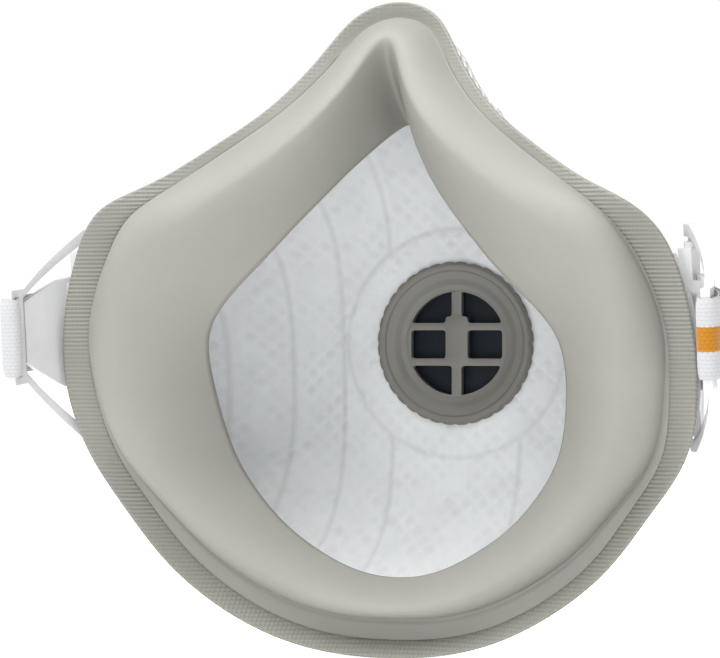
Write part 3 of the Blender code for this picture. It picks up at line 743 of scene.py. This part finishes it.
def embossed(grid, amount):
    """Press the moulded ribs and the round step by the valve into a layer's face."""
    normal = grid_normals(grid)
    if normal[0, grid.shape[1] // 2, 1] > 0.0:
        normal = -normal
    x = grid[:, :, 0]
    z = grid[:, :, 2]
    radius = np.hypot(x, z - VALVE_Z)
    height = np.zeros_like(x)
    for place in RIB_PLACES:
        line = place * (1.0 + RIB_FLARE * (z - RIB_LEVEL))
        height += RIB_HEIGHT * np.exp(-(((np.abs(x) - line) / RIB_WIDTH) ** 2))
    height *= np.clip((radius - RING_RADIUS + 0.5) / 1.5, 0.0, 1.0)
    height += RING_STEP * (0.5 + 0.5 * np.tanh((RING_RADIUS - radius) / 0.5))
    clear = grid[:, :, 1] > EMBOSS_FROM_Y
    return grid + normal * (height * amount * clear)[:, :, None]


def make_layer(name, node, flange_depths, dome_depths, mat,
               on_flange=True, emboss=0.0):
    """A closed shell between two depths, which differ on the flange and on the dome."""
    outline = Outline(SMOOTH)
    inner, outer = (
        layer_grid(outline, flange, dome, on_flange, emboss)
        for flange, dome in zip(flange_depths, dome_depths)
    )
    points, faces = band_solid(inner, outer)
    layer = make_object(name, points, faces, mat)
    weld = np.zeros(inner.shape[1])
    if on_flange:
        weld[:FLANGE_ROWS] = 1.0
    weld = np.concatenate([weld, weld[::-1]])
    point_values(layer, "weld", np.broadcast_to(weld, (len(inner), len(weld))))
    done(layer, [node])


make_layer("liner_fabric", "inner_liner", (0.0, 0.4), (0.0, 0.5), LINER,
           emboss=1.0)
make_layer("filter_fabric", "filter_layer", (0.4, 0.9), (0.8, 2.25), FILTER,
           on_flange=False)
make_layer("cover_fabric", "outer_cover", (0.9, FRONT_FLANGE), (2.6, 3.3), COVER,
           emboss=0.5)

NET_PITCH = 2.3
NET_STRAND = 0.55
NET_DEPTH = 3.62
NET_HOLE = 19.2
NET_REACH = 110.0  # beyond the longest way from the valve to the rim
# Borders of the net as (rise, depth) by the rim and (radius, depth) round the valve.
NET_FOOT = ((0.050, 3.35), (0.088, 3.35), (0.092, 3.6), (0.088, 3.88), (0.050, 3.88), (0.046, 3.6))
NET_COLLAR = ((19.0, 3.35), (20.3, 3.35), (20.5, 3.6), (20.3, 3.88), (19.0, 3.88), (18.8, 3.6))


def make_net():
    """The open net over the cover: a flat diagonal grid, laid out from the valve."""
    outline = Outline(SMOOTH)
    rows = [outline.boss_point(r, NET_DEPTH) for r in np.linspace(NET_HOLE, BOSS_RADIUS, 8)[:-1]]
    for rise in np.linspace(0.055, 1.0, 160)[::-1]:
        rows.append(outline.wall_point(float(rise), FRONT_FLANGE, NET_DEPTH))
    grid = np.stack(rows, axis=1)
    steps = np.linalg.norm(np.diff(grid, axis=1), axis=2)
    arc = NET_HOLE + np.concatenate([np.zeros((len(grid), 1)), np.cumsum(steps, axis=1)], axis=1)
    start = grid[:, 0] - np.array([0.0, 0.0, VALVE_Z])
    angle = np.unwrap(np.arctan2(start[:, 2], start[:, 0]))
    order = np.argsort(angle)
    angle, grid, arc = angle[order], grid[order], arc[order]
    angle = np.append(angle, angle[0] + 2.0 * math.pi)
    grid = np.concatenate([grid, grid[:1]])
    arc = np.concatenate([arc, arc[:1]])
    limit = arc[:, -1]

    def place(u, v):
        radius = math.hypot(u, v)
        turn = math.atan2(v, u)
        while turn < angle[0]:
            turn += 2.0 * math.pi
        while turn >= angle[-1]:
            turn -= 2.0 * math.pi
        i = min(max(int(np.searchsorted(angle, turn)) - 1, 0), len(angle) - 2)
        t = (turn - angle[i]) / (angle[i + 1] - angle[i])
        end = (1 - t) * limit[i] + t * limit[i + 1]
        inside = NET_HOLE < radius < end
        radius = min(max(radius, NET_HOLE), end)
        ends = []
        for k in (i, i + 1):
            ends.append([np.interp(radius, arc[k], grid[k, :, axis]) for axis in range(3)])
        return (1 - t) * np.array(ends[0]) + t * np.array(ends[1]), inside

    count = int(NET_REACH / NET_PITCH)
    crossings = {}
    free = set()
    for a in range(-count, count + 1):
        for b in range(-count, count + 1):
            u = (a - b) * NET_PITCH / math.sqrt(2.0)
            v = (a + b) * NET_PITCH / math.sqrt(2.0)
            crossings[a, b], inside = place(u, v)
            if inside:
                free.add((a, b))
    cells = []
    for a, b in crossings:
        corners = [(a, b), (a + 1, b), (a + 1, b + 1), (a, b + 1)]
        if free.intersection(corners) and all(corner in crossings for corner in corners):
            cells.append(corners)
    used = sorted({corner for cell in cells for corner in cell})
    index = {corner: number for number, corner in enumerate(used)}
    faces = [tuple(index[corner] for corner in cell) for cell in cells]
    net = make_object("net_strands", [crossings[corner] for corner in used], faces, NET_PLASTIC)
    wire = net.modifiers.new("wire", "WIREFRAME")
    wire.thickness = NET_STRAND * MM
    wire.use_even_offset = False
    wire.use_boundary = True
    wire.offset = 0.0
    apply_modifiers(net)
    net.data.shade_smooth()
    foot = [outline.wall_point(rise, FRONT_FLANGE, depth) for rise, depth in NET_FOOT]
    ring = [outline.boss_point(radius, depth) for radius, depth in NET_COLLAR]
    borders = []
    for rows in (foot, ring):
        section = np.stack(rows, axis=1)
        faces = loop_faces(len(section), len(rows))
        borders.append(make_object("border", section.reshape(-1, 3), faces, NET_PLASTIC))
    join(net, borders)
    done(net, ["outer_mesh"])


make_net()

# ---- nose clip

CLIP_STEPS = 18
CLIP_REACH = 2.5  # sections on each side of the nose
CLIP_RISES = (0.42, 0.56)
CLIP_DEPTHS = (4.45, 5.35)
CLIP_CROWN = 0.12
CLIP_END = 9.0  # steps over which an end narrows


def make_clip():
    """A bent aluminium strip with rounded ends over the bridge."""
    outline = Outline(CLIP_STEPS)
    half = int(CLIP_REACH * CLIP_STEPS)
    middle = 0.5 * (CLIP_RISES[0] + CLIP_RISES[1])
    reach = 0.5 * (CLIP_RISES[1] - CLIP_RISES[0])
    lower = []
    upper = []
    for across in np.linspace(-1.0, 1.0, 9):
        fall = abs(across) ** 6
        rise = across * reach
        lower.append((rise, CLIP_DEPTHS[0] - 0.1 + CLIP_CROWN * fall))
        upper.append((rise, CLIP_DEPTHS[1] - 0.1 + CLIP_CROWN * (1.0 - fall)))
    section = lower + upper[::-1]
    points = []
    for pick in range(-half, half + 1):
        end = min((half - abs(pick)) / CLIP_END, 1.0)
        narrow = math.sqrt(max(1.0 - (1.0 - end) ** 2, 0.02))
        for rise, depth in section:
            wall = outline.wall_point(middle + rise * narrow, FRONT_FLANGE, depth)
            points.append(wall[pick])
    faces = capped_faces(2 * half + 1, len(section))
    clip = make_object("nose_clip_strip", points, faces, CLIP, 50.0)
    done(clip, ["nose_clip"])


make_clip()

# ---- valve

SEAT_FACE_Y = 51.0
RIPPLE_FROM = 16.3  # the rim outside this radius is scalloped
RIPPLE_DEPTH = 0.24
RIPPLES = 36.0
WINDOW_RADIUS = 10.8
WINDOW_HALF_WIDTH = 10.0
GRID_RADIUS = 11.02
GRID_DEPTH = (1.8, 3.4)
LIP_DEPTH = 4.2
BAR_WIDTH = 2.1
PAD_WIDTH = 4.8
PAD_TOP = 5.6
CROSS_BARS = (3.5, -3.9)
CROSS_BAR_WIDTH = 1.5
CORNER_GAP = 1.5
CORNER_RADIUS = 0.7
FLAP_FACES = (55.5, 56.1)
VENTS = 6
VENT_WIDTH = 7.0


def window_outline(side, low, high):
    """One window of the grid, between the bars and the round edge."""
    inner = BAR_WIDTH / 2
    pad = PAD_WIDTH / 2
    limit = math.sqrt(WINDOW_RADIUS**2 - inner**2)
    bottom, top = max(low, -limit), min(high, limit)
    if high > limit:
        heights = [low, *np.linspace(low + CORNER_GAP, top - 0.05, 16)]
        inside = [(inner, top), (inner, PAD_TOP), (pad, PAD_TOP), (pad, bottom)]
    elif low < -limit:
        heights = [*np.linspace(bottom + 0.05, high - CORNER_GAP, 16), high]
        inside = [(inner, top), (inner, bottom)]
    else:
        heights = [low, high]
        inside = [(pad, top), (pad, bottom)]
    outside = [(min(WINDOW_HALF_WIDTH, math.sqrt(WINDOW_RADIUS**2 - z**2)), z) for z in heights]
    return [(side * x, z) for x, z in outside + inside]


def make_seat():
    """The round seat: rim, steps, barred window, neck and sealing lip."""
    y = SEAT_FACE_Y
    profile = rounded([
        (17.0, y + 1.6), (17.0, y + 0.55), (16.35, y), (15.3, y + 0.1), (15.0, y + 0.5),
        (13.7, y + 0.7), (13.3, y + 0.85), (12.2, y + 1.6), (11.4, y + 1.8),
        (10.9, y + 1.85), (10.9, y + 3.4), (11.15, y + 3.4), (11.15, y + 4.2), (11.85, y + 4.2),
        (11.85, y + 3.4), (12.6, y + 3.4), (12.6, y + 9.0), (13.6, y + 9.0), (13.6, y + 1.6),
    ], 0.16, 3)

    def ripple(angle, radius):
        wave = (0.5 + 0.5 * np.cos(RIPPLES * angle)) ** 3
        return RIPPLE_DEPTH * wave * (radius > RIPPLE_FROM)

    seat = turned("valve_seat_body", profile, SEAT, 432, ripple)
    turns = np.linspace(0, 2 * math.pi, 97)[:-1]
    circle = [(GRID_RADIUS * math.cos(turn), GRID_RADIUS * math.sin(turn)) for turn in turns]
    bars = prism("valve_grid", circle, y + GRID_DEPTH[0], y + GRID_DEPTH[1])
    cross = CROSS_BAR_WIDTH / 2
    spans = (
        (CROSS_BARS[0] + cross, WINDOW_RADIUS), (CROSS_BARS[1] + cross, CROSS_BARS[0] - cross),
        (-WINDOW_RADIUS, CROSS_BARS[1] - cross),
    )
    for side in (-1, 1):
        for low, high in spans:
            outline = rounded(window_outline(side, low, high), CORNER_RADIUS, 4)
            cut(bars, prism("window", outline, y, y + LIP_DEPTH))
    with edited(bars.data) as bm:
        bmesh.ops.triangulate(bm, faces=bm.faces)
    soften(bars, 0.14, 2, 50.0)
    join(seat, [bars])
    done(seat, ["valve_seat"])


def make_flap():
    """The flap behind the grid, and the pin that holds it."""
    low, high = FLAP_FACES
    disc = rounded([(1.3, low), (12.1, low), (12.1, high), (1.3, high)], 0.12, 3)
    done(turned("flap_disc", disc, FLAP, 96), ["valve_diaphragm"], "flap")
    foot = SEAT_FACE_Y + GRID_DEPTH[0] + 1.1
    pin = rounded([
        (0.02, foot), (1.0, foot), (1.0, 57.6), (2.4, 57.6), (2.4, 58.1), (1.8, 58.4), (0.02, 58.4),
    ], [0, 0.1, 0.1, 0.15, 0.2, 0.2, 0], 3)
    done(turned("flap_pin", pin, SEAT, 72), ["diaphragm_pin"])


def make_cap():
    """The vented cover of the valve, on the front."""
    base = BOSS_Y + 3.6
    top = base + 10.0
    profile = rounded([
        (0.02, top - 0.55), (6.0, top - 0.5), (12.6, top - 0.35), (12.9, top), (15.0, top),
        (16.5, top - 1.1), (18.35, base + 1.6), (18.5, base + 1.2), (18.5, base), (13.9, base),
        (13.9, base + 1.3), (17.0, base + 1.4), (15.1, top - 1.4), (12.0, top - 1.7),
        (0.02, top - 1.7),
    ], [0, 2.0, 0.2, 0.25, 0.8, 0.8, 0.3, 0.2, 0.3, 0.2, 0.3, 0.6, 0.6, 0.5, 0], 4)
    cap = turned("valve_cap", profile, CAP, 180)
    low, high = base + 3.4, base + 8.0
    half = VENT_WIDTH / 2
    vent = rounded([(low, -half), (high, -half), (high, half), (low, half)], 1.1, 4)
    for number in range(VENTS):
        points = [(x, y, z) for x in (12.0, 23.0) for y, z in vent]
        cutter = make_object("vent", points, capped_faces(2, len(vent)), CAP)
        cutter.location = (0.0, 0.0, VALVE_Z * MM)
        cutter.rotation_euler = (0.0, 2.0 * math.pi * (number + 0.5) / VENTS, 0.0)
        cut(cap, cutter)
    soften(cap, 0.15)
    done(cap, ["valve_cover"])


make_seat()
make_flap()
make_cap()

# ---- buckles

HINGE = (63.4, 8.1, 0.0)
HINGE_LEAN = 6.7
PLATE_ANGLES = (50.0, 87.0)
PLATE_CURVE = 22.6


def plate_point(side, p, q, h):
    """A point of a buckle plate: along its curve, across it and along the hinge."""
    start, end = (math.radians(a) for a in PLATE_ANGLES)
    radius = PLATE_CURVE / (end - start)
    angle = start + max(p, 0.0) / radius
    out = radius * (math.sin(angle) - math.sin(start)) + min(p, 0.0) * math.cos(start)
    front = radius * (math.cos(angle) - math.cos(start)) - min(p, 0.0) * math.sin(start)
    out += q * math.sin(angle)
    front += q * math.cos(angle)
    lean = math.radians(HINGE_LEAN)
    return np.array([
        side * (HINGE[0] + out),
        HINGE[1] + front * math.cos(lean) - h * math.sin(lean),
        HINGE[2] + front * math.sin(lean) + h * math.cos(lean),
    ])


def from_node(name, node, body, width):
    """A copy of a buckle's CAD piece, with its edges rounded."""
    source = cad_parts[node]
    mesh = source.data.copy()
    mesh.transform(source.matrix_world)
    mesh.materials.clear()
    mesh.materials.append(BUCKLE)
    for polygon in mesh.polygons:
        polygon.material_index = 0
    obj = add_object(name, mesh)
    with edited(mesh) as bm:
        bmesh.ops.remove_doubles(bm, verts=bm.verts, dist=1e-6)
        flat = math.radians(1.0)
        bmesh.ops.dissolve_limit(bm, angle_limit=flat, verts=bm.verts, edges=bm.edges)
    soften(obj, width, 3)
    done(obj, [node], body)


for side_name in ("left", "right"):
    from_node("base_" + side_name, "buckle_base_" + side_name, MASK, 0.25)
    from_node("yoke_frame_" + side_name, "strap_yoke_" + side_name, "yoke_" + side_name, 0.35)

# ---- strap

STRAP_WIDTH = 15.4
STRAP_HALF = 0.45  # half its thickness
STRAP_COLUMNS = 15
ROW_SPACING = 0.55
UPPER = (25.5, 6.0)  # a strand's heights on the middle of the cup and by the cheek
LOWER = (-31.5, -14.0)
STRAND_ROWS = 70
STRAND_CORE_Y = 14.0  # a strand turns round an upright axis at this depth
STRAND_LIFT = 1.5
STRAND_TURN = math.radians(76.0)
STRAND_END = 0.80  # the part of that turn that lies on the cup
STRAND_EASE = 2.2
BRIDGE_ROWS = 26
SLOT_MIDDLE = 0.6

# The strap's middle on the yoke's plate: p runs along the plate, q away from it.
OUTER_Q = 2.75
INNER_Q = 1.7
PLATE_FROM = 7.0
EASE_FROM = 18.6
RETURN_FROM = 19.2
BAR_P = 22.6
BAR_REACH = 1.3


def cad_surface():
    """The outside of the net, the cover and the valve's cap in the CAD model."""
    points = []
    faces = []
    for name in ("outer_cover", "outer_mesh", "valve_cover"):
        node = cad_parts[name]
        start = len(points)
        points.extend(node.matrix_world @ v.co for v in node.data.vertices)
        faces.extend([start + i for i in polygon.vertices] for polygon in node.data.polygons)
    return BVHTree.FromPolygons(points, faces)


def smooth_rows(values, passes=6):
    """Even out a grid's values along its first axis."""
    values = values.copy()
    for _ in range(passes):
        values[1:-1] = 0.25 * values[:-2] + 0.5 * values[1:-1] + 0.25 * values[2:]
    return values


def distance_along(grid):
    """How far each row is from the first one, along the middle column."""
    steps = np.linalg.norm(np.diff(grid[:, grid.shape[1] // 2], axis=0), axis=1)
    return np.concatenate([[0.0], np.cumsum(steps)])


def even_rows(grid):
    """Resample rows to an even spacing."""
    along = distance_along(grid)
    wanted = np.linspace(0.0, along[-1], int(along[-1] / ROW_SPACING))
    flat = grid.reshape(len(grid), -1)
    even = [np.interp(wanted, along, flat[:, k]) for k in range(flat.shape[1])]
    return np.stack(even, axis=1).reshape(len(wanted), *grid.shape[1:])


def strand_rows(surface, side, heights):
    """Rows of points over the front of the cup, from the middle to one cheek."""
    columns = np.linspace(-0.5, 0.5, STRAP_COLUMNS)
    radius = np.zeros((STRAND_ROWS, STRAP_COLUMNS))
    rows = np.zeros((STRAND_ROWS, STRAP_COLUMNS, 3))
    directions = []
    for i, sweep in enumerate(np.linspace(0.0, STRAND_END, STRAND_ROWS)):
        angle = STRAND_TURN * sweep
        direction = Vector((side * math.sin(angle), math.cos(angle), 0.0))
        directions.append(direction)
        height = heights[0] + (heights[1] - heights[0]) * sweep**STRAND_EASE
        rows[i, :, 2] = height + columns * STRAP_WIDTH
        for j, z in enumerate(rows[i, :, 2]):
            start = Vector((0.0, STRAND_CORE_Y, z)) * MM
            hit = surface.ray_cast(start + direction * 0.2, -direction)[0]
            radius[i, j] = (hit - start).length / MM
    radius = np.maximum(smooth_rows(radius), radius - 0.3)
    radius = 0.5 * radius + 0.5 * smooth_rows(radius.T, 3).T
    for i, direction in enumerate(directions):
        reach = radius[i] + STRAND_LIFT + STRAP_HALF
        rows[i, :, 0] = reach * direction.x
        rows[i, :, 1] = STRAND_CORE_Y + reach * direction.y
    return rows


def plate_rows(side, stations):
    """Rows of points on the yoke's plate, from (p, q) pairs."""
    columns = np.linspace(-0.5, 0.5, STRAP_COLUMNS) * STRAP_WIDTH + SLOT_MIDDLE
    return np.array([[plate_point(side, p, q, h) for h in columns] for p, q in stations])


def bridge(before, after):
    """Rows that lead smoothly from the end of one run of rows to the start of another."""
    gap = np.linalg.norm(after[0].mean(axis=0) - before[-1].mean(axis=0))
    leave = before[-1] - before[-2]
    leave = leave / np.linalg.norm(leave, axis=1, keepdims=True) * gap
    arrive = after[1] - after[0]
    arrive = arrive / np.linalg.norm(arrive, axis=1, keepdims=True) * gap
    shares = [k / BRIDGE_ROWS for k in range(1, BRIDGE_ROWS)]
    return np.array([hermite(share, before[-1], after[0], leave, arrive) for share in shares])


def turn_path():
    """(p, q) down the outside of the plate, round the outer bar and back through the slot."""
    quarter = math.pi / 2
    path = [(p, OUTER_Q) for p in np.linspace(PLATE_FROM, EASE_FROM, 14)]
    for t in np.linspace(0.0, 1.0, 9)[1:]:
        ease = t * t * (3 - 2 * t)
        path.append((EASE_FROM + (BAR_P - EASE_FROM) * t, OUTER_Q + (INNER_Q - OUTER_Q) * ease))
    for angle in np.linspace(quarter, -quarter, 17)[1:]:
        path.append((BAR_P + BAR_REACH * math.cos(angle), INNER_Q * math.sin(angle)))
    for angle in np.linspace(-quarter, -math.pi, 7)[1:]:
        up = (INNER_Q - 1.1) * (1 + math.sin(angle))
        path.append((BAR_P - 0.1 + 1.38 * math.cos(angle), up - INNER_Q))
    path += [(21.12, -0.2), (21.12, 0.35)]
    for angle in np.linspace(0.0, quarter, 8)[1:]:
        path.append((20.0 + 1.12 * math.cos(angle), 0.5 + 1.2 * math.sin(angle)))
    path += [(p, INNER_Q) for p in np.linspace(RETURN_FROM, PLATE_FROM, 14)]
    return path


def make_strap(side, side_name, surface, over, under, stripe_outside):
    """Half of the strap: one strand over the yoke's outer bar and back as the other."""
    top = strand_rows(surface, side, over)
    back = strand_rows(surface, side, under)[::-1]
    turn = plate_rows(side, turn_path())
    grid = np.concatenate([top, bridge(top, turn), turn, bridge(turn, back), back])
    grid = smooth_rows(even_rows(grid), 2)
    normal = grid_normals(grid, closed=False)
    columns = np.linspace(-1.0, 1.0, STRAP_COLUMNS)
    half = STRAP_HALF * np.sqrt(np.clip(1.0 - np.abs(columns) ** 8, 0.05, 1.0))
    outward = np.sign(np.sum(normal[0, :, 1]))
    offset = outward * normal * half[None, :, None]
    sections = np.concatenate([grid + offset, (grid - offset)[:, ::-1]], axis=1)
    shape = sections.shape[:2]
    name = "strap_" + side_name
    strap = make_object(name, sections.reshape(-1, 3), capped_faces(*shape), STRAP, 60.0)
    across = np.concatenate([columns, columns[::-1]]) * STRAP_WIDTH / 2 * MM
    along = distance_along(grid)
    on_face = np.repeat([1.0, 0.0] if stripe_outside else [0.0, 1.0], STRAP_COLUMNS)
    point_values(strap, "across", np.broadcast_to(across, shape))
    point_values(strap, "along", np.broadcast_to(along[:, None] * MM, shape))
    point_values(strap, "stripe", np.broadcast_to(on_face, shape))
    done(strap, ["strap_wrap_" + side_name, "strap_upper", "strap_lower"], None)
    start = plate_point(side, 6.0, 1.0, 0.0) * MM
    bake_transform(strap)


front = cad_surface()
make_strap(-1, "left", front, LOWER, UPPER, False)
make_strap(1, "right", front, UPPER, LOWER, True)

# ---- stage, light and camera

FLOOR_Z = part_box("outer_cover")[0][2] - 0.0003
FLOOR_HALF = 6.0
FLOOR_GLOW = 0.85  # as the camera sees it
FLOOR_BOUNCE = 0.6  # as it lights the object
WORLD_LIGHT = 0.44


def floor_material():
    """White paper that looks about as bright as the backdrop behind it."""
    net = Net("floor_paper")
    seen = net.node("LightPath").outputs["Is Camera Ray"]
    glow = net.range(seen, 0.0, 1.0, FLOOR_BOUNCE, FLOOR_GLOW)
    return net.finish((0.8, 0.8, 0.8), 0.9, Specular_IOR_Level=0.0, Emission_Color=(1.0, 1.0, 1.0),
                      Emission_Strength=glow)


def make_floor():
    half = FLOOR_HALF / MM
    corners = [(-half, -half), (half, -half), (half, half), (-half, half)]
    points = [(x, y, FLOOR_Z / MM) for x, y in corners]
    make_object("floor", points, [(0, 1, 2, 3)], floor_material())


def make_world():
    """A white backdrop that lights the object only in part."""
    world = bpy.data.worlds.new("studio")
    bpy.context.scene.world = world
    world.use_nodes = True
    tree = world.node_tree
    background = tree.nodes["Background"]
    seen = tree.nodes.new("ShaderNodeLightPath")
    shade = tree.nodes.new("ShaderNodeMapRange")
    tree.links.new(seen.outputs["Is Camera Ray"], shade.inputs["Value"])
    shade.inputs["To Min"].default_value = WORLD_LIGHT
    shade.inputs["To Max"].default_value = 1.0
    tree.links.new(shade.outputs["Result"], background.inputs["Strength"])
    background.inputs["Color"].default_value = (1.0, 1.0, 1.0, 1.0)


def area_light(name, place, size, power):
    """A rectangular light that faces the middle of the object."""
    light = bpy.data.lights.new(name, "AREA")
    light.shape = "RECTANGLE"
    light.size, light.size_y = size
    light.energy = power
    obj = add_object(name, light)
    obj.location = place
    obj.rotation_euler = (-Vector(place)).to_track_quat("-Z", "Y").to_euler()


make_floor()
make_world()
area_light("key", (-0.15, -0.50, 1.25), (1.4, 1.4), 43.0)
area_light("front", (0.40, -1.45, 0.20), (0.9, 0.5), 3.0)

bpy.context.scene.view_settings.view_transform = "Standard"

camera = bpy.data.cameras.new("camera")
camera.lens = 204.08
camera.sensor_width = 36.0
camera.clip_start = 0.01
camera.clip_end = 50.0
camera_object = add_object("camera", camera)
camera_object.location = (0.2717, -0.7524, 0.0)
camera_object.rotation_euler = (math.radians(90.0), 0.0, math.radians(20.0))
bpy.context.scene.camera = camera_object
